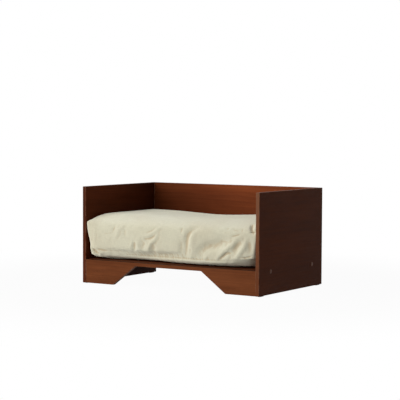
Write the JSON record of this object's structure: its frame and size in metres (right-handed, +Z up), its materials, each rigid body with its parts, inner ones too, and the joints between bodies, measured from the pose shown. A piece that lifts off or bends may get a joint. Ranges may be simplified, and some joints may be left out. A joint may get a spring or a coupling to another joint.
{
  "type": "dog sofa bed",
  "caption": "Low wooden dog sofa: two side panels, a back panel and an arched front rail round a thick loose cushion in a zipped canvas cover.",
  "frame": {"origin": "on the floor, under the middle of the sofa", "axes": "+X to the right of someone standing in front of it, +Y to the rear, +Z up"},
  "size_m": [0.8038, 0.49, 0.38],
  "materials": {
    "stained_wood": "satin",
    "beech": "matte",
    "bronzed_steel": "satin",
    "zinc_steel": "satin",
    "felt": "matte",
    "cream_canvas": "matte",
    "fibre_filling": "matte",
    "zip_tape": "matte",
    "zip_coil": "satin",
    "nickel": "satin"
  },
  "bodies": {
    "frame": {"left_side_panel": "stained_wood", "right_side_panel": "stained_wood", "back_panel": "stained_wood", "front_rail": "stained_wood", "seat_board": "stained_wood", "seat_bolts": "bronzed_steel", "seat_barrel_nuts": "zinc_steel", "back_screws": "zinc_steel", "back_cam_housings": "zinc_steel", "back_cam_bolts": "zinc_steel", "rail_cam_housings": "zinc_steel", "rail_cam_bolts": "zinc_steel", "back_dowels": "beech", "rail_dowels": "beech", "seat_rail_dowels": "beech", "seat_side_dowels": "beech", "floor_pad_front_left": "felt", "floor_pad_front_right": "felt", "floor_pad_rear_left": "felt", "floor_pad_rear_right": "felt"},
    "cushion": {"cushion_cover": "cream_canvas", "cushion_core": "fibre_filling", "zip_tapes": "zip_tape", "zip_chain": "zip_coil", "zip_stops": "nickel"},
    "zip_slider": {"zip_slider": "nickel"},
    "zip_pull": {"zip_pull": "nickel"}
  },
  "joints": [
    {"name": "cushion_lift", "type": "slide", "parent": "frame", "child": "cushion", "axis": [0, 0, 1], "range_m": [0, 0.32]},
    {"name": "zip_slide", "type": "slide", "parent": "cushion", "child": "zip_slider", "axis": [1, 0, 0], "range_m": [0, 0.581]},
    {"name": "zip_pull_swing", "type": "hinge", "parent": "zip_slider", "child": "zip_pull", "pos_m": [-0.2906, 0.21374, 0.12014], "axis": [1, 0, 0], "range_deg": [-30, 150]}
  ]
}
